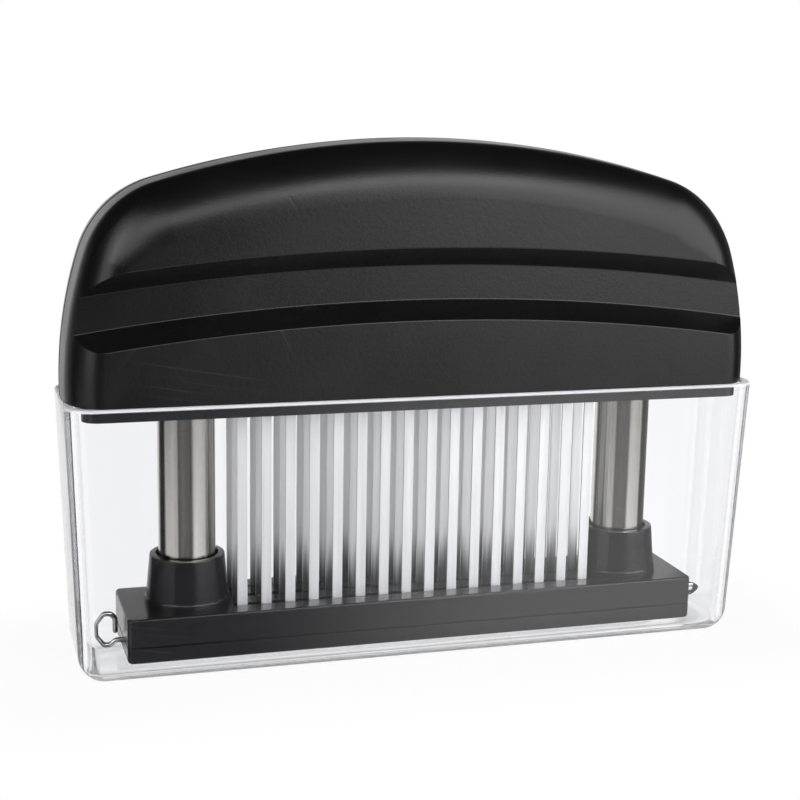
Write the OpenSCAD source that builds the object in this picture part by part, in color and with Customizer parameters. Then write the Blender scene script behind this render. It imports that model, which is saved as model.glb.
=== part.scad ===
// Blade meat tenderizer that stands in its clear storage cover.
// A sprung foot slides up two hollow posts and bares three rows of blades.
// Origin: middle of the cover's underside. +X runs along the blade rows, +Z is up,
// and the front is -Y. Every size is in millimetres.

/* [Blades] */
// Blades in each of the three rows
blades_per_row = 16; // [8:1:20]
// Distance from one blade to the next in a row
blade_pitch = 5.15; // [4.2:0.05:5.6]
// Distance from one row to the next
row_gap = 6; // [5.6:0.1:7]
// Width of a blade
blade_w = 2.1; // [1.4:0.1:2.6]
// Thickness of a blade
blade_t = 0.5; // [0.3:0.05:0.8]
// Length of the slanted cutting tip
blade_tip = 2.4; // [1:0.1:3]

/* [Posts and springs] */
// Outer diameter of the hollow posts
post_d = 12; // [10:0.25:13]
// Wall of the hollow posts
post_wall = 1; // [0.6:0.1:1.2]
// Diameter of the spring wire
spring_wire_d = 0.9; // [0.6:0.05:1.1]
// Turns in each spring
spring_turns = 22; // [12:1:26]
// Diameter of the rod that keeps each spring straight
spring_rod_d = 4.6; // [3:0.1:4.8]

/* [Foot] */
// How far the foot slides up when the tool is pressed down
foot_travel = 31; // [20:0.5:31]
// Foot beyond each post, from the post's axis
foot_end = 14; // [11:0.25:18]
// Depth of the foot, front to back
foot_w = 22.2; // [20:0.2:24]
// Height of the sole under the foot
sole_h = 3.2; // [2.6:0.1:4]
// Height of the upper half of the foot
guide_h = 6.2; // [5:0.1:8]
// Radius of the foot's upright corners
foot_corner_r = 1.4; // [1:0.1:3.5]
// Bevel along the foot's edges
foot_bevel = 0.5; // [0.2:0.05:0.8]
// Height of each post socket above the foot
socket_h = 10.5; // [8:0.25:12]
// Wall of the post socket at its rim
socket_wall = 1.9; // [1.6:0.1:2.4]
// How much the socket widens towards the foot
socket_flare = 0.8; // [0.4:0.1:1.2]
// Width of the slots that the blades pass through
slot_w = 1.5; // [1.3:0.1:2]

/* [Ring pins] */
// Diameter of the wire of the two ring pins
pin_wire_d = 1.1; // [0.9:0.05:1.3]
// How far the rings stand out of the foot
pin_ring_out = 5.6; // [4.6:0.1:7]
// Height of the rings, between wire centres
pin_ring_h = 6.8; // [5.6:0.1:8]
// Bend radius of the ring wire, along its middle
pin_bend = 0.9; // [0.7:0.05:1]
// Free room between a ring and the cover
pin_room = 1.8; // [1.6:0.1:4]
// How far the right ring is tipped forward, in degrees
right_ring_tip = 50; // [0:5:90]

/* [Cover] */
// Wall of the clear cover
cover_wall = 2; // [1.4:0.1:2.2]
// Thickness of the cover's floor
cover_floor = 1.4; // [1.2:0.1:2]
// How much narrower each side of the cover is at its base than at its rim
cover_draft = 1.8; // [1:0.1:2.2]
// Radius round the cover's corners and base
cover_r = 5.6; // [4.6:0.2:6.6]
// Radius inside the cover, between its floor and its walls
cover_floor_r = 1.2; // [0.8:0.1:2]
// Room between the cover's floor and the foot
floor_room = 2.6; // [2.4:0.1:5]

/* [Handle] */
// Height of the handle above the cover's rim
handle_h = 52.4; // [51.6:0.2:60]
// Radius of the long arch on top
dome_r = 195; // [170:5:300]
// Radius of the two shoulders
shoulder_r = 22; // [16:0.5:25]
// Radius of the two bowed ends
side_r = 90; // [75:5:140]
// Inward lean of the ends at the rim, in degrees. Below 0 they lean outward.
side_lean = -1.5; // [-2:0.5:3]
// Half the handle's thickness along its outer edge
edge_depth = 7.4; // [7:0.1:9]
// Half the handle's thickness in the finger groove
groove_depth = 9.8; // [9.6:0.1:11]
// How far the palm and the skirt stand proud of the groove
palm_rise = 5.2; // [4:0.1:6]
// Width of the rounded edge of the palm at the top
top_roll = 11; // [8:0.5:12]
// Width of the rounded edge of the palm and skirt at the ends
side_roll = 7; // [5:0.5:9]
// Extra width of the rounded edge at the shoulders
shoulder_roll = 2.5; // [0:0.5:4]
// Wall of the handle shells
shell_wall = 1.9; // [1.4:0.1:2]
// Height of the groove floor above the rim, at the middle
groove_z = 19.5; // [17:0.5:22]
// Height of the groove floor
groove_h = 7.25; // [6:0.25:9]
// Height of the slope below the groove
groove_low_slope = 3.6; // [2.5:0.1:5]
// Height of the slope above the groove
groove_top_slope = 4.1; // [3:0.1:5]
// Radius of the groove's arch
groove_arch_r = 480; // [380:10:700]

/* [Base plate] */
// Height of the plate's visible band below the rim
plate_drop = 3; // [2:0.1:4]
// Height of the part of the plate inside the handle
plate_lip = 2.5; // [2:0.1:4]
// How far the plate stands out beyond the foot, front and back
plate_margin = 2; // [1.6:0.1:3]

/* [Hidden] */
$fn = 64;
eps = 0.01;
over = 1; // how far a cut runs past the face that it opens
weld = 0.5; // how far one form reaches into the form that carries it

// Fits
running_fit = 0.05;
press_fit = 0.02;
cover_fit = 0.8;
stop_gap = 0.3;
seam_bevel = 0.3;
half_bevel = 0.2; // between the foot's two halves

// Blade rows
row_l = (blades_per_row - 1) * blade_pitch + blade_w;
rows = [-row_gap, 0, row_gap];
function blade_x(i) = (i - (blades_per_row - 1) / 2) * blade_pitch;

// Posts and their sockets
post_r = post_d / 2;
post_bore_r = post_r - post_wall;
bush_wall = 1.6;
bush_collar = 0.7;
socket_rim_r = post_r + socket_wall;
socket_base_r = socket_rim_r + socket_flare;
socket_lip = 0.3;
row_to_socket = 0.9;
post_x = row_l / 2 + row_to_socket + socket_base_r;
slot_end_room = 0.7;
slot_l = row_l + 2 * slot_end_room;

// Heights, from the table up
foot_z = cover_floor + floor_room;
guide_z = foot_z + sole_h;
foot_top = guide_z + guide_h;
socket_top = foot_top + socket_h;
plate_z = socket_top + foot_travel + stop_gap;
cover_h = plate_z + plate_drop;
plate_h = plate_drop + plate_lip;
plate_top = plate_z + plate_h;
handle_top = cover_h + handle_h;

// Lengths and depths
foot_l = 2 * (post_x + foot_end);
plate_w = foot_w + 2 * plate_margin;
cover_l = foot_l + 2 * (pin_ring_out + pin_wire_d / 2 + pin_room + cover_wall + cover_draft);
cover_w = plate_w + 2 * (cover_fit + cover_wall);
plate_end_room = 1.4;
plate_l = cover_l - 2 * (cover_wall + plate_end_room);
handle_inset = 0.1;
handle_l = cover_l - 2 * handle_inset;
palm_depth = groove_depth + palm_rise;

// Blades: tips stay inside the foot until it is pressed
tip_guard = 1.5;
tip_share = 0.2; // of the blade's width, left flat at its tip
blade_bed = 5;
blade_room = 0.15;
blade_z = foot_z + tip_guard;
blade_top = plate_top + blade_bed;
carrier_end = 0.75;
carrier_l = row_l + 2 * carrier_end;
carrier_apart = 0.4;
carrier_w = row_gap - carrier_apart;
bolt_r = 1.25;
bolt_room = 0.65;
bolt_rim = 1.35;
bolt_z = plate_top + blade_bed + bolt_room + bolt_r;
carrier_h = blade_bed + bolt_room + 2 * bolt_r + bolt_rim;
bolt_pitches = 4; // from the middle of a row to each bolt
bolt_x = bolt_pitches * blade_pitch;
bolt_head_r = 2.3;
bolt_head_h = 1.4;
lug_t = 1.8;
lug_w = 7;
lug_gap = 0.1;
lug_y = row_gap + carrier_w / 2 + lug_gap;
lug_rim = 1.15;
drive_w = 0.6; // slots for a driver, in bolts and screws
drive_depth = 0.7;

// Post length: its top just clears the spring seat when the foot is fully up
bush_h = 8.8;
bush_collar_h = 1.2;
bush_recess = 0.2;
bush_top = plate_z + bush_h;
ring_t = 1;
ring_room = 0.2;
ring_z = bush_top + ring_room;
ring_neck = 0.3;
ring_reach = 1.2;
ring_opening = 3;
stop_ring_r = post_r + ring_reach;
post_lift = 0.4;
post_over = 1.2;
post_bevel = 0.2;
post_z = foot_z + post_lift;
post_top = ring_z + ring_t + post_over;
seat_room = 0.5;
seat_z = post_top + foot_travel + seat_room;
plug_h = 9.6;
plug_lift = 0.1;
plug_top = post_z + plug_h;
pin_z = foot_z + sole_h / 2;
pin_end_in = 1; // how far the shank reaches past the post
rod_head_r = post_bore_r + 0.2;
rod_head_h = 1.2;
rod_end_room = 3;
rod_bottom = plug_top + foot_travel + rod_end_room;
seat_margin = 1;
spring_r = (post_bore_r + spring_rod_d / 2) / 2;

// Screws that hold the shells to the plate
screw_room = 2.5;
boss_r = 3.4;
screw_x = post_x + post_r + bush_wall + bush_collar + screw_room + boss_r;
screw_y = 6.5;
screw_r = 1.4;
screw_head_r = 2.6;
screw_head_h = 1.4;
screw_l = 10;
boss_h = 7;
rib_t = 1.6;
head_room = 0.1;
peg_r = 1.3;
peg_l = 3;
peg_x = 28;
peg_share = 0.72; // of the handle's height
peg_z = cover_h + peg_share * handle_h;

// ---- Outline of the handle: three arcs on each side, each touching the next ----

dome_c = [0, handle_top - dome_r];
side_c = [handle_l / 2 - side_r * cos(side_lean), cover_h - side_r * sin(side_lean)];
arm_dome = dome_r - shoulder_r;
arm_side = side_r - shoulder_r;
arc_span = norm(side_c - dome_c);
arc_dir = (side_c - dome_c) / arc_span;
arc_foot = (arm_dome * arm_dome - arm_side * arm_side + arc_span * arc_span) / (2 * arc_span);
arc_rise = sqrt(arm_dome * arm_dome - arc_foot * arc_foot);
shoulder_c = dome_c + arc_foot * arc_dir + arc_rise * [arc_dir[1], -arc_dir[0]];
angle_side = atan2(shoulder_c[1] - side_c[1], shoulder_c[0] - side_c[0]);
angle_dome = atan2(shoulder_c[1] - dome_c[1], shoulder_c[0] - dome_c[0]);

// Points of one arc as [x, z, angle of the outward normal]
function arc_points(c, r, a0, a1, n, first) =
    [for (i = [first:n]) let (a = a0 + (a1 - a0) * i / n) [c[0] + r * cos(a), c[1] + r * sin(a), a]];
right_outline = concat(
    arc_points(side_c, side_r, side_lean, angle_side, 7, 0),
    arc_points(shoulder_c, shoulder_r, angle_side, angle_dome, 9, 1),
    arc_points(dome_c, dome_r, angle_dome, 90, 9, 1));
handle_outline = concat(right_outline,
    [for (i = [len(right_outline) - 2:-1:0]) let (p = right_outline[i]) [-p[0], p[1], 180 - p[2]]]);

// Outline moved in by d, plus the share t of the rounded edge, which is widest at the shoulders
function roll_width(a) = side_roll + (top_roll - side_roll) * pow(sin(a), 2)
    + shoulder_roll * pow(sin(2 * a), 2);
function inset_outline(d, t, low) =
    [for (i = [0:len(handle_outline) - 1])
        let (p = handle_outline[i], move = d + t * roll_width(p[2]),
            is_end = i == 0 || i == len(handle_outline) - 1)
        [p[0] - move * cos(p[2]), is_end ? low : max(low, p[1] - move * sin(p[2]))]];

// Solid lofted through rings of points, all with the same number of points
module loft(rings) {
    n = len(rings[0]);
    last = len(rings) - 1;
    polyhedron(
        points = [for (ring = rings) for (p = ring) p],
        faces = concat(
            [[for (i = [0:n - 1]) i]],
            [[for (i = [n - 1:-1:0]) last * n + i]],
            [for (k = [0:last - 1]) for (i = [0:n - 1]) let (j = (i + 1) % n)
                [k * n + i, (k + 1) * n + i, (k + 1) * n + j]],
            [for (k = [0:last - 1]) for (i = [0:n - 1]) let (j = (i + 1) % n)
                [k * n + i, (k + 1) * n + j, k * n + j]]));
}

// Front half of the handle as a solid, thinner all round by the wall when it is the cavity
roll_steps = 7;
roll_start = 28;
edge_draft = 0.5;
function roll_angle(k) = roll_start + (90 - roll_start) * k / roll_steps;
function roll_in(k) = (cos(roll_start) - cos(roll_angle(k))) / cos(roll_start);
function roll_out(k) = (sin(roll_angle(k)) - sin(roll_start)) / (1 - sin(roll_start));
module handle_half(wall, low) {
    start = wall > 0 ? [[-over, inset_outline(wall, 0, low)]]
        : [[0, inset_outline(seam_bevel, 0, low)], [seam_bevel, inset_outline(0, 0, low)]];
    roll = [for (k = [0:roll_steps])
        [edge_depth - wall + (palm_depth - edge_depth) * roll_out(k),
            inset_outline(wall + edge_draft, roll_in(k), low)]];
    loft([for (level = concat(start, roll)) [for (p = level[1]) [p[0], -level[0], p[1]]]]);
}

// Arched block along the groove: rows of [height above the groove's lower edge, depth]
arch_room = 5;
arch_half = asin((handle_l / 2 + arch_room) / (groove_arch_r - arch_room));
module arched(profile) {
    arch_c = cover_h + groove_z - groove_arch_r;
    translate([0, 0, arch_c]) rotate([90, 0, 0]) rotate([0, 0, 90 - arch_half])
        rotate_extrude(angle = 2 * arch_half, $fn = 480)
            polygon([for (p = profile) [groove_arch_r + p[0], p[1]]]);
}
module groove_cut() {
    low = groove_low_slope * (palm_rise + over) / palm_rise;
    top = groove_top_slope * (palm_rise + over) / palm_rise;
    far = palm_depth + over;
    arched([[0, groove_depth], [groove_h, groove_depth], [groove_h + top, far], [-low, far]]);
}
module groove_backing() {
    near = groove_depth - shell_wall;
    arched([[-shell_wall / 2, near], [groove_h + shell_wall / 2, near],
        [groove_h + groove_top_slope + shell_wall, palm_depth],
        [-groove_low_slope - shell_wall, palm_depth]]);
}

// ---- Clear cover ----

// Rounded tray: hull of four upright corners, each a rim disc over discs that round its base
module tray_solid(l, w, z0, z1, r, base_r) {
    base_steps = 6;
    hull() for (sx = [-1, 1]) for (sy = [-1, 1]) {
        translate([sx * (l / 2 - r), sy * (w / 2 - r), z1 - eps]) cylinder(r = r, h = eps, $fn = 32);
        for (k = [0:base_steps]) let (a = 90 * k / base_steps)
            translate([sx * (l / 2 - r - cover_draft), sy * (w / 2 - r - cover_draft),
                    z0 + base_r * (1 - cos(a))])
                cylinder(r = r - base_r * (1 - sin(a)) + eps, h = eps, $fn = 32);
    }
}
module cover() {
    color([0.93, 0.95, 0.97, 0.35]) difference() {
        tray_solid(cover_l, cover_w, 0, cover_h, cover_r, cover_r);
        tray_solid(cover_l - 2 * cover_wall, cover_w - 2 * cover_wall, cover_floor,
            cover_h + 2 * eps, cover_r - cover_wall, cover_floor_r);
    }
}

// ---- Handle ----

module spring_seat() {
    half = rod_head_r + seat_margin;
    rotate([90, 0, 0]) linear_extrude(height = edge_depth - weld)
        for (sx = [-1, 1]) intersection() {
            polygon([for (p = inset_outline(shell_wall / 2, 0, cover_h)) p]);
            translate([sx * post_x - half, seat_z]) square([2 * half, handle_top]);
        }
}
module shell_half(is_front) {
    inner_y = palm_depth - shell_wall;
    difference() {
        union() {
            difference() {
                handle_half(0, cover_h);
                difference() {
                    handle_half(shell_wall, cover_h - over);
                    groove_backing();
                }
                groove_cut();
            }
            spring_seat();
            for (sx = [-1, 1]) {
                translate([sx * screw_x, -screw_y, plate_top]) cylinder(r = boss_r, h = boss_h);
                translate([sx * screw_x - rib_t / 2, -inner_y - weld, plate_top])
                    cube([rib_t, inner_y - screw_y, boss_h]);
            }
            for (px = [-peg_x, 0, peg_x]) translate([px, 0, peg_z]) rotate([90, 0, 0]) {
                cylinder(r = 2 * peg_r, h = inner_y + weld);
                if (is_front) translate([0, 0, -peg_l]) cylinder(r = peg_r, h = peg_l + weld);
            }
        }
        for (sx = [-1, 1]) {
            translate([sx * screw_x, -screw_y, plate_top - over])
                cylinder(r = screw_r, h = boss_h);
            translate([sx * post_x, 0, seat_z - over])
                cylinder(r = rod_head_r + running_fit, h = rod_head_h + over);
        }
        if (!is_front) for (px = [-peg_x, 0, peg_x]) translate([px, 0, peg_z]) rotate([90, 0, 0])
            translate([0, 0, -over]) cylinder(r = peg_r + running_fit, h = peg_l + over + weld);
    }
}
module handle_front_shell() {
    color([0.06, 0.06, 0.065]) shell_half(true);
}
module handle_rear_shell() {
    color([0.06, 0.06, 0.065]) mirror([0, 1, 0]) shell_half(false);
}

// Flat bar with round corners
module rounded_bar(l, w, h, r) {
    translate([-l / 2 + r, -w / 2, 0]) cube([l - 2 * r, w, h]);
    translate([-l / 2, -w / 2 + r, 0]) cube([l, w - 2 * r, h]);
    for (sx = [-1, 1]) for (sy = [-1, 1])
        translate([sx * (l / 2 - r), sy * (w / 2 - r), 0]) cylinder(r = r, h = h);
}
module blade_slots(w, z, h) {
    for (y = rows) translate([-slot_l / 2, y - w / 2, z]) cube([slot_l, w, h]);
}
module at_posts() {
    for (sx = [-1, 1]) translate([sx * post_x, 0, 0]) children();
}
module at_screws() {
    for (sx = [-1, 1]) for (sy = [-1, 1]) translate([sx * screw_x, sy * screw_y, plate_z]) children();
}
module base_plate() {
    lip_in = 0.2;
    lip_end_in = 1.4; // clears the rounded corners inside the shells
    color([0.08, 0.08, 0.085]) difference() {
        union() {
            translate([0, 0, plate_z]) rounded_bar(plate_l, plate_w, plate_drop, cover_r - cover_wall);
            translate([0, 0, cover_h]) rounded_bar(plate_l - 2 * lip_end_in, plate_w - 2 * lip_in, plate_lip,
                cover_r - cover_wall);
            for (sx = [-1, 1]) for (sy = [-1, 1])
                translate([sx * bolt_x - lug_w / 2, sy * (lug_y + lug_t / 2) - lug_t / 2, plate_top - weld])
                    cube([lug_w, lug_t, bolt_z + bolt_r + lug_rim - plate_top + weld]);
        }
        blade_slots(blade_t + 2 * blade_room, plate_z - over, plate_h + 2 * over);
        at_posts() translate([0, 0, plate_z - over])
            cylinder(r = post_r + bush_wall + press_fit, h = plate_h + 2 * over);
        at_screws() translate([0, 0, -over]) {
            cylinder(r = screw_r + head_room, h = plate_h + 2 * over);
            cylinder(r = screw_head_r + head_room, h = screw_head_h + over);
        }
        for (sx = [-1, 1]) translate([sx * bolt_x, lug_y + lug_t + over, bolt_z]) rotate([90, 0, 0])
            cylinder(r = bolt_r + running_fit, h = 2 * (lug_y + lug_t + over));
    }
}

// ---- Blades and what holds them ----

module blade_carrier(y) {
    color([0.12, 0.12, 0.13]) translate([0, y, 0]) difference() {
        translate([-carrier_l / 2, -carrier_w / 2, plate_top]) cube([carrier_l, carrier_w, carrier_h]);
        for (i = [0:blades_per_row - 1])
            translate([blade_x(i) - blade_w / 2 - running_fit, -blade_t / 2 - running_fit, plate_top - over])
                cube([blade_w + 2 * running_fit, blade_t + 2 * running_fit, blade_bed + over]);
        for (sx = [-1, 1]) translate([sx * bolt_x, carrier_w, bolt_z]) rotate([90, 0, 0])
            cylinder(r = bolt_r + running_fit, h = 2 * carrier_w);
    }
}
module blade_row(y) {
    color([0.78, 0.79, 0.8]) for (i = [0:blades_per_row - 1])
        translate([blade_x(i) - blade_w / 2, y + blade_t / 2, 0]) rotate([90, 0, 0])
            linear_extrude(height = blade_t) polygon([[0, blade_z + blade_tip], [0, blade_top],
                [blade_w, blade_top], [blade_w, blade_z + blade_tip],
                [blade_w * (1 + tip_share) / 2, blade_z], [blade_w * (1 - tip_share) / 2, blade_z]]);
}
module blade_carrier_front() blade_carrier(rows[0]);
module blade_carrier_middle() blade_carrier(rows[1]);
module blade_carrier_rear() blade_carrier(rows[2]);
module blades_front() blade_row(rows[0]);
module blades_middle() blade_row(rows[1]);
module blades_rear() blade_row(rows[2]);

// Cross bolts through the lugs and the three carriers, with a head and a nut
module carrier_bolts() {
    end_y = lug_y + lug_t;
    color([0.7, 0.7, 0.72]) for (sx = [-1, 1]) translate([sx * bolt_x, 0, bolt_z]) rotate([90, 0, 0]) {
        translate([0, 0, -end_y - bolt_head_h]) {
            cylinder(r = bolt_r, h = 2 * end_y + bolt_head_h);
            cylinder(r = bolt_head_r, h = bolt_head_h, $fn = 6);
        }
        difference() {
            translate([0, 0, end_y]) cylinder(r = bolt_head_r, h = bolt_head_h);
            translate([-bolt_head_r - over, -drive_w / 2, end_y + bolt_head_h - drive_depth])
                cube([2 * (bolt_head_r + over), drive_w, drive_depth + over]);
        }
    }
}
module plate_screws() {
    color([0.7, 0.7, 0.72]) at_screws() difference() {
        union() {
            translate([0, 0, running_fit]) cylinder(r = screw_head_r, h = screw_head_h - running_fit);
            cylinder(r = screw_r - press_fit, h = screw_l);
        }
        for (a = [0, 90]) rotate([0, 0, a]) translate([-screw_r, -drive_w / 2, -over])
            cube([2 * screw_r, drive_w, drive_depth + over]);
    }
}

// ---- Posts, bushes and springs ----

module post_bush(sx) {
    color([0.85, 0.84, 0.8]) translate([sx * post_x, 0, plate_z]) rotate_extrude() polygon([
        [post_r + running_fit, bush_recess], [post_r + bush_wall, bush_recess],
        [post_r + bush_wall, plate_h], [post_r + bush_wall + bush_collar, plate_h],
        [post_r + bush_wall + bush_collar, plate_h + bush_collar_h],
        [post_r + bush_wall, plate_h + bush_collar_h],
        [post_r + bush_wall, bush_h], [post_r + running_fit, bush_h]]);
}
module post(sx) {
    color([0.75, 0.75, 0.74]) translate([sx * post_x, 0, 0]) difference() {
        rotate_extrude() polygon([[post_bore_r, post_z], [post_r - post_bevel, post_z],
            [post_r, post_z + post_bevel], [post_r, ring_z], [post_r - ring_neck, ring_z],
            [post_r - ring_neck, ring_z + ring_t], [post_r, ring_z + ring_t],
            [post_r, post_top - post_bevel], [post_r - post_bevel, post_top], [post_bore_r, post_top]]);
        translate([-post_d, 0, pin_z]) rotate([0, 90, 0])
            cylinder(r = pin_wire_d / 2 + running_fit, h = 2 * post_d);
    }
}
// Retaining ring snapped into the neck near the post's top, open at one side
module post_stop_ring(sx) {
    color([0.6, 0.6, 0.62]) translate([sx * post_x, 0, ring_z]) difference() {
        rotate_extrude() polygon([[post_r - ring_neck + press_fit, running_fit], [stop_ring_r, running_fit],
            [stop_ring_r, ring_t - running_fit], [post_r - ring_neck + press_fit, ring_t - running_fit]]);
        translate([0, -ring_opening / 2, -over]) cube([post_d, ring_opening, ring_t + 2 * over]);
    }
}
module post_plug(sx) {
    color([0.2, 0.2, 0.21]) translate([sx * post_x, 0, 0]) difference() {
        translate([0, 0, post_z + plug_lift]) cylinder(r = post_bore_r - press_fit, h = plug_h - plug_lift);
        translate([-post_d, 0, pin_z]) rotate([0, 90, 0])
            cylinder(r = pin_wire_d / 2 + running_fit, h = 2 * post_d);
    }
}
module spring_rod(sx) {
    color([0.2, 0.2, 0.21]) translate([sx * post_x, 0, 0]) {
        translate([0, 0, rod_bottom]) cylinder(r = spring_rod_d / 2, h = seat_z - rod_bottom + weld);
        translate([0, 0, seat_z]) cylinder(r = rod_head_r, h = rod_head_h);
    }
}

// Coil spring wound by formula. Flat turns at both ends, even turns between.
spring_steps = 8;
wire_sides = 6;
end_turns = 1;
spring_low = plug_top + spring_wire_d / 2;
spring_high = seat_z - spring_wire_d / 2;
spring_wire_gap = 0.5;
end_rise = (spring_wire_d + spring_wire_gap) * end_turns;
function turn_z(t) =
    t < end_turns ? spring_low + end_rise * t / end_turns
    : t > spring_turns - end_turns ? spring_high - end_rise * (spring_turns - t) / end_turns
    : spring_low + end_rise
        + (spring_high - spring_low - 2 * end_rise) * (t - end_turns) / (spring_turns - 2 * end_turns);
spring_axis = [for (i = [0:spring_turns * spring_steps]) let (t = i / spring_steps)
    [spring_r * cos(360 * t), spring_r * sin(360 * t), turn_z(t)]];
// The least gap is between points one turn apart
spring_gap = min([for (i = [0:len(spring_axis) - 1 - spring_steps])
    norm(spring_axis[i + spring_steps] - spring_axis[i])]) - spring_wire_d;
echo(spring_least_gap = spring_gap);
module spring(sx) {
    color([0.65, 0.66, 0.68]) translate([sx * post_x, 0, 0]) loft([
        for (i = [0:len(spring_axis) - 1]) let (a = 360 * i / spring_steps)
            [for (k = [0:wire_sides - 1]) let (b = 360 * k / wire_sides)
                spring_axis[i] + spring_wire_d / 2 * [cos(b) * cos(a), cos(b) * sin(a), -sin(b)]]]);
}
module post_bush_left() post_bush(-1);
module post_bush_right() post_bush(1);
module spring_left() spring(-1);
module spring_right() spring(1);
module spring_rod_left() spring_rod(-1);
module spring_rod_right() spring_rod(1);
module post_left() post(-1);
module post_right() post(1);
module post_stop_ring_left() post_stop_ring(-1);
module post_stop_ring_right() post_stop_ring(1);
module post_plug_left() post_plug(-1);
module post_plug_right() post_plug(1);

// ---- Foot ----

// Bar with bevelled edges along its top or its underside
module bevelled_bar(z, h, bevel_low, bevel_top) {
    hull() {
        translate([0, 0, z]) rounded_bar(foot_l - 2 * bevel_low, foot_w - 2 * bevel_low, eps,
            foot_corner_r - bevel_low, $fn = 32);
        translate([0, 0, z + bevel_low]) rounded_bar(foot_l, foot_w, h - bevel_low - bevel_top,
            foot_corner_r, $fn = 32);
        translate([0, 0, z + h - eps]) rounded_bar(foot_l - 2 * bevel_top, foot_w - 2 * bevel_top, eps,
            foot_corner_r - bevel_top, $fn = 32);
    }
}
module pin_bores() {
    for (sx = [-1, 1]) translate([sx * (post_x - post_r - pin_end_in - over), 0, pin_z])
        rotate([0, sx * 90, 0])
            cylinder(r = pin_wire_d / 2 + running_fit, h = foot_end + post_r + pin_end_in + 2 * over);
}
module foot_guide() {
    mouth_flare = 0.6;
    mouth_h = 1.6;
    fillet_low = 1.2;
    fillet_top = 1.6;
    color([0.07, 0.07, 0.075]) difference() {
        union() {
            bevelled_bar(guide_z, guide_h, half_bevel, foot_bevel);
            at_posts() rotate_extrude() polygon([[0, foot_top - weld],
                [socket_base_r + socket_lip, foot_top - weld],
                [socket_base_r + socket_lip, foot_top + fillet_low], [socket_base_r, foot_top + fillet_top],
                [socket_rim_r, socket_top - socket_lip], [socket_rim_r - socket_lip, socket_top],
                [0, socket_top]]);
        }
        blade_slots(slot_w, guide_z - over, guide_h + 2 * over);
        at_posts() translate([0, 0, guide_z - over])
            cylinder(r = post_r + running_fit, h = guide_h + socket_h + 2 * over);
        at_posts() translate([0, 0, socket_top - mouth_h])
            cylinder(r = post_r + mouth_flare, h = mouth_h + over);
    }
}
module foot_sole() {
    color([0.07, 0.07, 0.075]) difference() {
        bevelled_bar(foot_z, sole_h, foot_bevel, half_bevel);
        blade_slots(slot_w, foot_z - over, sole_h + 2 * over);
        at_posts() translate([0, 0, foot_z - over]) cylinder(r = post_r + running_fit, h = sole_h + 2 * over);
        pin_bores();
    }
}

// Ring pin: a straight shank across the post, bent outside the foot into an eight-sided ring.
// The wire's corners are flat points [x, z], each rounded to the same bend.
bend_steps = 4;
pin_sides = 10;
function heading(p, i) = atan2(p[i + 1][1] - p[i][1], p[i + 1][0] - p[i][0]);
function turn_at(p, i) =
    let (t = heading(p, i) - heading(p, i - 1)) t > 180 ? t - 360 : t < -180 ? t + 360 : t;
function wire_bend(p, i, bend) =
    let (h = heading(p, i - 1), t = turn_at(p, i), side = sign(t),
        c = p[i] - bend * tan(abs(t) / 2) * [cos(h), sin(h)] + side * bend * [-sin(h), cos(h)])
    [for (k = [0:bend_steps]) let (a = h + t * k / bend_steps)
        [c[0] + side * bend * sin(a), c[1] - side * bend * cos(a), a]];
function wire_axis(p, bend) = let (last = len(p) - 1) concat(
    [[p[0][0], p[0][1], heading(p, 0)]],
    [for (i = [1:last - 1]) each wire_bend(p, i, bend)],
    [[p[last][0], p[last][1], heading(p, last - 1)]]);
module ring_pin(sx, tip) {
    shank_l = foot_end + post_r + pin_end_in;
    neck = 1.3;
    slope = 1;
    low = -0.9; // the ring sits a little below the shank
    high = low + pin_ring_h;
    corner_share = 0.3; // of the ring's height
    corner = corner_share * pin_ring_h;
    end_gap = 1;
    corners = [[0, 0], [neck, 0], [neck + slope, low], [pin_ring_out - corner, low],
        [pin_ring_out, low + corner], [pin_ring_out, high - corner], [pin_ring_out - corner, high],
        [neck + slope, high], [neck, high - slope], [neck, pin_wire_d + end_gap]];
    ring_r = pin_wire_d / 2 - press_fit;
    color([0.72, 0.72, 0.73]) translate([sx * foot_l / 2, 0, pin_z]) rotate([tip, 0, 0])
        mirror([sx < 0 ? 1 : 0, 0, 0]) {
            translate([-shank_l, 0, 0]) rotate([0, 90, 0])
                cylinder(r = pin_wire_d / 2, h = shank_l + neck / 2);
            loft([for (w = wire_axis(corners, pin_bend))
                [for (k = [0:pin_sides - 1]) let (b = 360 * k / pin_sides, across = ring_r * cos(b))
                    [w[0] - across * sin(w[2]), -ring_r * sin(b), w[1] + across * cos(w[2])]]]);
        }
}
module ring_pin_left() ring_pin(-1, 0);
module ring_pin_right() ring_pin(1, right_ring_tip);

cover();
handle_front_shell();
handle_rear_shell();
base_plate();
blade_carrier_front();
blade_carrier_middle();
blade_carrier_rear();
blades_front();
blades_middle();
blades_rear();
post_bush_left();
post_bush_right();
spring_left();
spring_right();
spring_rod_left();
spring_rod_right();
plate_screws();
carrier_bolts();
foot_guide();
foot_sole();
post_left();
post_right();
post_stop_ring_left();
post_stop_ring_right();
post_plug_left();
post_plug_right();
ring_pin_left();
ring_pin_right();
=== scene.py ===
"""Looks of the blade meat tenderizer in its clear cover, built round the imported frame.

Everything is in metres. Origin: middle of the cover's underside, +X along the blade rows,
+Z up, front at -Y.
"""

from math import acos, asin, atan2, cos, pi, radians, sin, sqrt, tan

import bmesh
import bpy
from mathutils import Matrix, Vector


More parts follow.
